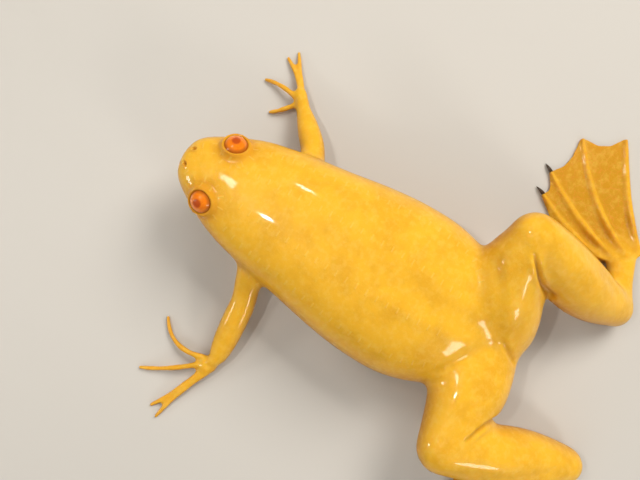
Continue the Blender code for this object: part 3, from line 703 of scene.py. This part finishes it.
def draw_lids(points, normals, side):
    """Sinks a groove round an eye, and draws the skin that faces the eyeball onto it."""
    way, far, ahead, aside = seen_from_eye(points, side)
    outer = np.clip((way @ np.array((SIDES[side], 0.0, -0.6))) / GROOVE_RADIUS, 0.0, 1.0)
    groove = hill(aside - GROOVE_RADIUS, GROOVE_WIDTH) * (ahead > -2.5) * (far < 9.0)
    points -= normals * (groove * (GROOVE_DEPTH + GROOVE_OUTER * outer))[:, None]
    facing = np.einsum("ij,ij->i", normals, way) / np.maximum(far, TINY)
    hugging = (far < 4.6) * step(-facing, 0.05, 0.5)
    target = np.array(eye_centre(side)) + way / far[:, None] * LID_REACH
    points += hugging[:, None] * (target - points)


def settle_lids(points, edges, side):
    """Smooths an eye's lids at their rims, then keeps them just on the eyeball."""
    _, far, ahead, _ = seen_from_eye(points, side)
    rim = hill(np.maximum(np.abs(far - 4.1) - 0.3, 0.0), 0.9) * (far < 6.5) * (ahead > 0.0)
    near = far < 8.0
    index = np.full(len(points), -1)
    index[near] = np.arange(near.sum())
    share, rounds = RIM_SMOOTHING
    near_edges = index[edges[near[edges].all(axis=1)]]
    points[near] = relax(points[near], near_edges, share * rim[near], rounds)
    way, far, ahead, aside = seen_from_eye(points, side)
    for chosen, reach in ((aside > LID_OPENING, LID_REACH),
                          ((aside > COVER_OPENING) & (ahead < COVER_TOP), COVER_REACH)):
        inside = chosen & (far < reach)
        points[inside] = np.array(eye_centre(side)) + way[inside] / far[inside][:, None] * reach


def thin_skin(skin):
    """Takes triangles out where the skin is even."""
    triangles = sum(len(p.vertices) - 2 for p in skin.data.polygons)
    if triangles > sizes().skin_triangles:
        apply_modifier(skin, "DECIMATE", ratio=sizes().skin_triangles / triangles)


def eye_ring(side):
    """The ring of sense organs round an eye."""
    look = eye_look(side)
    across = look.cross(Vector((0.0, 1.0, 0.0))).normalized()
    fore = across.cross(look)
    return [eye_centre(side) + (across * math.cos(a) + fore * math.sin(a)) * EYE_ROW_RADIUS
            for a in np.linspace(0.0, 2 * math.pi, EYE_ROW_PLACES)]


def sense_rows(surface):
    """Places close together along each row of sense organs, with the row's way and its run so far."""
    lines = [[Vector((sign * x, y, z)) for x, y, z in row] for sign in SIDES.values() for row in ROWS]
    lines += [eye_ring(side) for side in SIDES]
    places = []
    for line in lines:
        fine = []
        for a, b in zip(line[:-1], line[1:]):
            count = max(1, round((b - a).length / ROW_STEP))
            fine += [surface.find_nearest(a.lerp(b, k / count))[0] for k in range(count)]
        run = 0.0
        for a, b in zip(fine[:-1], fine[1:]):
            if (b - a).length > 1e-4:
                places.append((a, (b - a).normalized(), run))
                run += (b - a).length
    return places


def foot_marks(points):
    """Where the skin is web, and where it is a toe's ridge over the web."""
    web, toes = np.zeros(len(points)), np.zeros(len(points))
    for side in SIDES:
        along = past_instep(points, side)
        foot = step(along, -1.5, 9.0)
        web = np.maximum(web, foot)
        toes = np.maximum(toes, foot * step(points[:, 2] - web_top(along), 0.15, 0.6))
    return web, toes


def blush_marks(points, mouth, holes):
    """Where blood shows through: along the lips, round the nostrils, on fingers and on toe tips."""
    blush = hill(line_distance(points, mouth, 3.0), 1.1) * 0.7
    for hole in holes:
        blush = np.maximum(blush, 0.8 * hill(distance_to(points, hole), 1.4))
    for side in SIDES:
        near_hand = inside_box(points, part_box(f"hand_{side}"), HAND_MARGIN)
        fingers = near_hand * step(5.0 - points[:, 2], 0.0, 4.0)
        blush = np.maximum(blush, 0.5 * fingers)
        blush = np.maximum(blush, 0.35 * step(past_instep(points, side), 20.0, 36.0))
    return blush


def painted_eye_shade_marks(points):
    """Where shade is painted onto the skin round each eye."""
    lids = np.zeros(len(points))
    for side in SIDES:
        _, far, _, aside = seen_from_eye(points, side)
        lids = np.maximum(lids, step(7.2 - aside, 0.0, 2.8) * (far < 8.0))
    return lids


def painted_crease_shade_marks(points, hollow, surface, mouth, holes):
    """Where shade is painted into the skin: in hollows, creases and folds, along the mouth and in the
    nostrils.
    """
    # Painted shade in hollows, darker the deeper the hollow.
    fold = 0.55 * step(hollow, 0.004, 0.05)
    for line, floor, first, last in CREASES:
        away, beside = beside_line(points[:, :2], line, 5.0)
        width = crease_width(beside, first[0], last[0])
        tint = step(beside, -0.02, 0.25) * step(points[:, 2], floor, floor + CREASE_HEIGHT_FADE)
        fold = np.maximum(fold, 0.85 * tint * hill(away, width * 0.7))
    for line, width, _, _, _, tint in FOLDS:
        away, beside = beside_line(points, dropped(surface, line), width * 4)
        fold = np.maximum(fold, tint * fold_depth(beside, 0.6, 1.0) * hill(away, width * 0.8))
    fold = np.maximum(fold, 0.9 * hill(line_distance(points, mouth, 2.0), 0.3))
    for hole in holes:
        fold = np.maximum(fold, hill(distance_to(points, hole), 0.7))
    return fold


def row_marks(points, surface):
    """Each point's distance from the nearest row of sense organs, and the row's run there."""
    places = sense_rows(surface)
    tree = tree_of([at for at, _, _ in places])
    away, run = np.full(len(points), OFF_ROW), np.zeros(len(points))
    for i, point in enumerate(points):
        at, k, distance = tree.find(Vector(point))
        if distance < ROW_REACH:
            way = Vector(point) - at
            ahead = way.dot(places[k][1])
            run[i] = places[k][2] + ahead
            away[i] = math.sqrt(max(0.0, way.length_squared - ahead * ahead))
    return away, run


def mark_skin(skin, mouth, holes):
    """Writes where the skin is belly, web or blushing, where shade is painted on the sides, round the eyes
    and in folds and hollows, and where it bears sense organs.
    """
    points, normals, edges = points_of(skin), normals_of(skin), edges_of(skin)
    surface = surface_of(skin)
    web, toes = foot_marks(points)
    belly = step(-normals[:, 2], 0.1, 0.8) * (1 - web)
    # Painted shade on the sides: the further the skin turns away from straight up, the deeper its amber.
    sides = step(0.72 - normals[:, 2], 0.0, 0.75) * (1 - 0.6 * web)
    hollow = np.einsum("ij,ij->i", neighbour_mean(points, edges) - points, normals)
    hollow = relax(hollow, edges, MARK_SOFTNESS, 8)
    row_distance, row_run = row_marks(points, surface)
    marks = {
        "web": web,
        "toes": relax(toes, edges, MARK_SOFTNESS, 2),
        "belly": relax(belly, edges, MARK_SOFTNESS, 12),
        "sides": relax(sides, edges, MARK_SOFTNESS, 14),
        "blush": relax(blush_marks(points, mouth, holes), edges, MARK_SOFTNESS, 4),
        "lids": relax(painted_eye_shade_marks(points), edges, MARK_SOFTNESS, 4),
        "fold": painted_crease_shade_marks(points, hollow, surface, mouth, holes),
        "row_distance": row_distance,
        "row_run": row_run,
    }
    for name, values in marks.items():
        set_attribute(skin, name, values)


class FROG_OT_skin(bpy.types.Operator):
    """One continuous skin over the head, trunk, limbs, fingers and webbed toes"""

    bl_idname = "frog.skin"
    bl_label = "Skin"

    def execute(self, context):
        skin, mouth, holes = build_skin()
        mark_skin(skin, mouth, holes)
        skin.data.transform(Matrix.Scale(MM, 4))
        skin.data.materials.append(skin_material())
        skin.data.shade_smooth()
        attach(skin, BODY)
        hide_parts(*FLESH)
        return {"FINISHED"}


class FROG_OT_eyes(bpy.types.Operator):
    """The two round eyes"""

    bl_idname = "frog.eyes"
    bl_label = "Eyes"

    def execute(self, context):
        for side in SIDES:
            eye = self.one_eye(side)
            eye.data.materials.append(eye_material())
            eye.data.shade_smooth()
            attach(eye, BODY)
            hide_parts(f"eye_{side}")
        return {"FINISHED"}

    def one_eye(self, side):
        """A ball that knows how far each point in front is from the middle of the pupil."""
        clear_selection()
        bpy.ops.mesh.primitive_uv_sphere_add(segments=48, ring_count=32, radius=sizes().eye_radius)
        eye = bpy.context.active_object
        eye.name = f"eyeball_{side}"
        points = points_of(eye)
        from_pupil = np.linalg.norm(points[:, :2], axis=1) / MM
        set_attribute(eye, "from_pupil", np.where(points[:, 2] > 0, from_pupil, BEHIND_IRIS))
        eye.data.transform(eye_place(side, MM))
        return eye


def shader_of(name):
    """A material with nothing but a shader in it."""
    made = bpy.data.materials.get(name) or bpy.data.materials.new(name)
    made.use_nodes = True
    nodes = made.node_tree.nodes
    nodes.clear()
    shader = nodes.new("ShaderNodeBsdfPrincipled")
    out = nodes.new("ShaderNodeOutputMaterial")
    made.node_tree.links.new(shader.outputs["BSDF"], out.inputs["Surface"])
    return made, made.node_tree, shader


def plug(tree, node, values):
    """Sets a node's inputs, or links them where the value is another node's output."""
    for socket, value in values:
        if isinstance(value, bpy.types.NodeSocket):
            tree.links.new(value, node.inputs[socket])
        else:
            node.inputs[socket].default_value = value


def add(tree, kind_of, values=(), **settings):
    """A new node with its settings and its inputs."""
    node = tree.nodes.new(kind_of)
    for key, value in settings.items():
        setattr(node, key, value)
    plug(tree, node, values)
    return node


def maths(tree, operation, *values):
    return add(tree, "ShaderNodeMath", tuple(enumerate(values)), operation=operation).outputs[0]


def ramp(tree, value, low, high, to_low=0.0, to_high=1.0):
    """The value taken from one range smoothly to another."""
    return add(tree, "ShaderNodeMapRange", (
        ("Value", value), ("From Min", low), ("From Max", high), ("To Min", to_low), ("To Max", to_high)),
        interpolation_type="SMOOTHSTEP").outputs["Result"]


def rgba(colour):
    """A colour with its alpha, or a node's output as it is."""
    return colour if isinstance(colour, bpy.types.NodeSocket) else (*colour, 1.0)


def mixed(tree, share, first, second):
    """Two colours mixed by a share. The Mix node's sockets for colours go by number."""
    return add(tree, "ShaderNodeMix", ((0, share), (6, rgba(first)), (7, rgba(second))),
               data_type="RGBA").outputs[2]


def tinted(tree, colour, mask, share, tint):
    """A colour with another laid over it by a share of a mask."""
    return mixed(tree, maths(tree, "MULTIPLY", mask, share), colour, tint)


def noise(tree, where, scale, detail=3.0, roughness=0.6):
    return add(tree, "ShaderNodeTexNoise", (
        ("Vector", where), ("Scale", scale), ("Detail", detail), ("Roughness", roughness))).outputs["Fac"]


def cells(tree, where, scale, feature):
    return add(tree, "ShaderNodeTexVoronoi", (("Vector", where), ("Scale", scale)),
               feature=feature).outputs["Distance"]


def attribute(tree, name):
    return add(tree, "ShaderNodeAttribute", attribute_name=name).outputs["Fac"]


def bumped(tree, height, strength, distance):
    return add(tree, "ShaderNodeBump", (
        ("Height", height), ("Strength", strength), ("Distance", distance))).outputs["Normal"]


def place_in_mm(tree):
    """The place on the piece in millimetres."""
    where = add(tree, "ShaderNodeTexCoord").outputs["Object"]
    return add(tree, "ShaderNodeVectorMath", ((0, where), ("Scale", 1 / MM)), operation="SCALE").outputs[0]


def new_group(name, inputs, outputs):
    group = bpy.data.node_groups.new(name, "ShaderNodeTree")
    for socket, socket_type in inputs:
        group.interface.new_socket(socket, in_out="INPUT", socket_type=socket_type)
    for socket, socket_type in outputs:
        group.interface.new_socket(socket, in_out="OUTPUT", socket_type=socket_type)
    return group, group.nodes.new("NodeGroupInput").outputs, group.nodes.new("NodeGroupOutput")


def use_group(tree, group, values):
    return add(tree, "ShaderNodeGroup", values, node_tree=group).outputs[0]


def mottle_group():
    """Soft patches, small clouds and fine pale specks over a colour."""
    if "mottle" in bpy.data.node_groups:
        return bpy.data.node_groups["mottle"]
    group, given, out = new_group(
        "mottle",
        (("Place", "NodeSocketVector"), ("Colour", "NodeSocketColor"), ("Dark", "NodeSocketColor"),
         ("Light", "NodeSocketColor"), ("Strength", "NodeSocketFloat")),
        (("Colour", "NodeSocketColor"),))
    colour = given["Colour"]
    for scale, detail, reach, share, tint in MOTTLES:
        spots = ramp(group, noise(group, given["Place"], scale, detail), *reach)
        strength = maths(group, "MULTIPLY", given["Strength"], share)
        colour = tinted(group, colour, spots, strength, given[tint])
    group.links.new(colour, out.inputs["Colour"])
    return group


def grain_group():
    """Fine pebbled grain with soft wrinkles, as a height."""
    if "grain" in bpy.data.node_groups:
        return bpy.data.node_groups["grain"]
    group, given, out = new_group(
        "grain", (("Place", "NodeSocketVector"), ("Fine", "NodeSocketFloat")),
        (("Height", "NodeSocketFloat"),))
    gaps = cells(group, given["Place"], given["Fine"], "SMOOTH_F1")
    pebbles = maths(group, "MULTIPLY", maths(group, "SUBTRACT", 1.0, gaps), 0.30)
    swell = maths(group, "MULTIPLY", noise(group, given["Place"], 0.42), 2.0)
    wrinkles = maths(group, "MULTIPLY", noise(group, given["Place"], 1.5, 4.0, 0.65), 0.45)
    height = maths(group, "ADD", pebbles, maths(group, "ADD", swell, wrinkles))
    group.links.new(height, out.inputs["Height"])
    return group


def skin_material():
    """Wet golden skin: mottled, paler below, greener in the webs, with rows of sense organs, and with shade
    painted on the sides, round the eyes and in folds.
    """
    made, tree, shader = shader_of("frog_skin")
    where = place_in_mm(tree)
    look = colours()
    colour = look.back
    for mask, share, name in SKIN_TINTS:
        colour = tinted(tree, colour, attribute(tree, mask), share, getattr(look, name))
    colour = use_group(tree, mottle_group(), (
        ("Place", where), ("Colour", colour), ("Dark", rgba(look.mottle)),
        ("Light", rgba(look.pale)), ("Strength", 0.42)))
    organs, vessels = sense_organs(tree), web_vessels(tree, where)
    # Painted shade round the eyes.
    colour = tinted(tree, colour, attribute(tree, "lids"), 0.6, look.lids)
    # Painted shade in folds, creases, hollows, the mouth's line and the nostrils.
    colour = tinted(tree, colour, attribute(tree, "fold"), 0.6, look.folds)
    colour = tinted(tree, colour, organs, 0.28, look.pale)
    colour = tinted(tree, colour, vessels, 0.35, look.blush)
    grain = use_group(tree, grain_group(), (("Place", where), ("Fine", 3.4)))
    height = maths(tree, "ADD", grain, maths(tree, "MULTIPLY", organs, 1.1))
    height = maths(tree, "SUBTRACT", height, maths(tree, "MULTIPLY", vessels, 0.4))
    plug(tree, shader, (
        ("Base Color", colour),
        ("Roughness", ramp(tree, noise(tree, where, 0.7), 0.3, 0.75, 0.34, 0.50)),
        ("Normal", bumped(tree, height, 0.6, 0.00011)),
        ("Subsurface Weight", 0.22),
        ("Subsurface Radius", (1.0, 0.40, 0.08)),
        ("Subsurface Scale", 0.0022),
        ("Specular IOR Level", 0.2),
        ("Coat Weight", ramp(tree, attribute(tree, "sides"), 0.0, 1.0, 0.42, 0.12)),
        ("Coat Roughness", 0.06)))
    return made


def sense_organs(tree):
    """1 on each short raised stitch of the rows, 0 between them."""
    spacing = sizes().stitch_spacing
    turn = maths(tree, "FRACT", maths(tree, "DIVIDE", attribute(tree, "row_run"), spacing))
    along = maths(tree, "MULTIPLY", maths(tree, "ABSOLUTE", maths(tree, "SUBTRACT", turn, 0.5)), spacing)
    length = sizes().stitch_length
    ends = ramp(tree, attribute(tree, "row_distance"), length + 0.15, length - 0.15)
    return maths(tree, "MULTIPLY", ramp(tree, along, 0.34, 0.12), ends)


def web_vessels(tree, where):
    """Fine branching lines in the webs."""
    lines = ramp(tree, cells(tree, where, 0.42, "DISTANCE_TO_EDGE"), 0.05, 0.0)
    return maths(tree, "MULTIPLY", lines, attribute(tree, "web"))


def eye_material():
    """Orange iris with fine rays round a red pupil, under a clear wet surface."""
    made, tree, shader = shader_of("frog_eye")
    look = colours()
    reach = attribute(tree, "from_pupil")
    rays = noise(tree, place_in_mm(tree), 1.9, 4.0, 0.7)
    ragged = maths(tree, "ADD", reach, maths(tree, "MULTIPLY", maths(tree, "SUBTRACT", rays, 0.5), 0.35))
    rim = sizes().pupil_radius
    colour = mixed(tree, ramp(tree, ragged, rim - 0.35, rim + 0.25), look.pupil, look.iris)
    outside = ramp(tree, reach, rim, rim + 0.5, 0.0, 0.4)
    colour = tinted(tree, colour, ramp(tree, rays, 0.45, 0.62), outside, look.iris_bright)
    colour = mixed(tree, ramp(tree, ragged, 2.3, 3.1), colour, look.iris_rim)
    height = maths(tree, "MULTIPLY", rays, ramp(tree, reach, rim, rim + 0.4))
    plug(tree, shader, (
        ("Base Color", colour),
        ("Roughness", 0.4),
        ("Normal", bumped(tree, height, 0.25, 0.0001)),
        ("Specular IOR Level", 0.15),
        ("Subsurface Weight", 0.15),
        ("Subsurface Radius", (1.0, 0.3, 0.1)),
        ("Subsurface Scale", 0.0012),
        ("Coat Weight", 0.9),
        ("Coat Roughness", 0.03)))
    return made


def claw_material():
    """Dark horn with fine grain and browner patches."""
    made, tree, shader = shader_of("claw_horn_dark")
    where = place_in_mm(tree)
    patches = ramp(tree, noise(tree, where, 1.6), 0.35, 0.65)
    grain = use_group(tree, grain_group(), (("Place", where), ("Fine", 6.0)))
    plug(tree, shader, (
        ("Base Color", tinted(tree, colours().claw, patches, 0.5, colours().claw_brown)),
        ("Roughness", 0.3),
        ("Normal", bumped(tree, grain, 0.3, 0.00005)),
        ("Coat Weight", 0.4)))
    return made


def toe_end(side, order):
    """Where a claw's solid starts, in metres, and the way that it points."""
    corners = points_of(frame["nodes"][f"claw_{side}_{order}"])
    away = np.linalg.norm(corners[:, :2] - np.array(INSTEP[side]) * MM, axis=1)
    near = corners[away < away.min() + CLAW_END].mean(axis=0)
    far = corners[away > away.max() - CLAW_END].mean(axis=0)
    way = Vector(far - near)
    return Vector((near[0], near[1], corners[:, 2].mean())), Vector((way.x, way.y, 0.0)).normalized()


class FROG_OT_claws(bpy.types.Operator):
    """The dark claws on the three inner toes of each foot"""

    bl_idname = "frog.claws"
    bl_label = "Claws"

    def execute(self, context):
        for side in SIDES:
            for order in (1, 2, 3):
                claw = self.one_claw(side, order)
                claw.data.materials.append(claw_material())
                claw.data.shade_smooth()
                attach(claw, BODY)
                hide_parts(f"claw_{side}_{order}")
        return {"FINISHED"}

    def one_claw(self, side, order):
        """A disc drawn out forwards and downwards to a point."""
        start, way = toe_end(side, order)
        clear_selection()
        bpy.ops.mesh.primitive_circle_add(
            vertices=16, radius=sizes().claw_radius, fill_type="NGON",
            location=start - way * CLAW_SUNK, rotation=way.to_track_quat("Z", "Y").to_euler())
        claw = bpy.context.active_object
        claw.name = f"toe_claw_{side}_{order}"
        bpy.ops.object.transform_apply(location=True, rotation=True, scale=True)
        bpy.ops.object.mode_set(mode="EDIT")
        bpy.ops.mesh.select_all(action="SELECT")
        forward = (sizes().claw_length + CLAW_SUNK) / len(CLAW_NARROWS)
        for k, share in enumerate(CLAW_NARROWS):
            rise = CLAW_RISE if k < CLAW_RISING else -CLAW_DROOP * (k - CLAW_RISING + 1)
            shift = way * forward + Vector((0.0, 0.0, rise))
            bpy.ops.mesh.extrude_region_move(TRANSFORM_OT_translate={"value": shift})
            bpy.ops.transform.resize(value=(share,) * 3)
        bpy.ops.mesh.select_all(action="SELECT")
        bpy.ops.mesh.normals_make_consistent(inside=False)
        bpy.ops.object.mode_set(mode="OBJECT")
        apply_modifier(claw, "SUBSURF", levels=1, render_levels=1)
        points = points_of(claw)
        points[:, 2] = np.maximum(points[:, 2], CLAW_LOWEST)
        set_points(claw, points)
        return claw


class FROG_OT_stage(bpy.types.Operator):
    """Pale floor, soft light and the camera"""

    bl_idname = "frog.stage"
    bl_label = "Stage"

    def execute(self, context):
        clear_selection()
        bpy.ops.mesh.primitive_plane_add(size=FLOOR_SIZE)
        floor = bpy.context.active_object
        floor.name = "floor"
        made, tree, shader = shader_of("pale_floor")
        plug(tree, shader, (("Base Color", rgba(colours().floor)), ("Roughness", 0.6)))
        floor.data.materials.append(made)
        for name, place, size, power, mirrored in LAMPS:
            add_lamp(name, place, size, power, mirrored)
        light_sky()
        add_camera()
        return {"FINISHED"}


def add_lamp(name, place, size, power, mirrored):
    """A square soft light that faces the frog."""
    data = bpy.data.lights.new(name, "AREA")
    data.size = size
    data.energy = power
    data.color = LAMP_COLOUR
    made = bpy.data.objects.new(name, data)
    made.visible_glossy = mirrored
    bpy.context.scene.collection.objects.link(made)
    made.location = place
    made.rotation_euler = (-Vector(place)).to_track_quat("-Z", "Y").to_euler()


def light_sky():
    """Dim even light from all round, and colours shown as they are."""
    scene = bpy.context.scene
    scene.view_settings.view_transform = "Standard"
    scene.world = scene.world or bpy.data.worlds.new("studio")
    scene.world.use_nodes = True
    sky = scene.world.node_tree.nodes["Background"]
    sky.inputs["Color"].default_value = SKY_COLOUR
    sky.inputs["Strength"].default_value = SKY_STRENGTH


def add_camera():
    """The camera at the photo's angle."""
    data = bpy.data.cameras.new("camera")
    data.lens = CAMERA_LENS
    data.sensor_width = CAMERA_SENSOR
    data.sensor_fit = "HORIZONTAL"
    data.clip_start = CAMERA_NEAREST
    azimuth, elevation = math.radians(CAMERA_AZIMUTH), math.radians(CAMERA_ELEVATION)
    ahead = Vector((-math.sin(azimuth) * math.cos(elevation),
                    math.cos(azimuth) * math.cos(elevation), -math.sin(elevation)))
    right = ahead.cross(Vector((0.0, 0.0, 1.0))).normalized()
    up = right.cross(ahead)
    camera = bpy.data.objects.new("camera", data)
    bpy.context.scene.collection.objects.link(camera)
    turn = Matrix((right, up, -ahead)).transposed().to_4x4()
    camera.matrix_world = Matrix.Translation(Vector(CAMERA_PLACE) * MM) @ turn
    bpy.context.scene.camera = camera


class FROG_PT_panel(bpy.types.Panel):
    bl_idname = "FROG_PT_panel"
    bl_label = "African clawed frog"
    bl_space_type = "VIEW_3D"
    bl_region_type = "UI"
    bl_category = "Frog"

    def draw(self, context):
        for operator in OPERATORS:
            self.layout.operator(operator.bl_idname)
        for group in (context.scene.frog_sizes, context.scene.frog_colours):
            box = self.layout.box()
            for name in group.__annotations__:
                box.prop(group, name)


OPERATORS = (FROG_OT_skin, FROG_OT_eyes, FROG_OT_claws, FROG_OT_stage)
CLASSES = (FrogSizes, FrogColours, *OPERATORS, FROG_PT_panel)


def register():
    for cls in CLASSES:
        bpy.utils.register_class(cls)
    bpy.types.Scene.frog_sizes = PointerProperty(type=FrogSizes)
    bpy.types.Scene.frog_colours = PointerProperty(type=FrogColours)


def unregister():
    del bpy.types.Scene.frog_sizes
    del bpy.types.Scene.frog_colours
    for cls in reversed(CLASSES):
        bpy.utils.unregister_class(cls)


def main():
    register()
    bpy.ops.frog.skin()
    bpy.ops.frog.eyes()
    bpy.ops.frog.claws()
    bpy.ops.frog.stage()


if __name__ == "__main__":
    main()
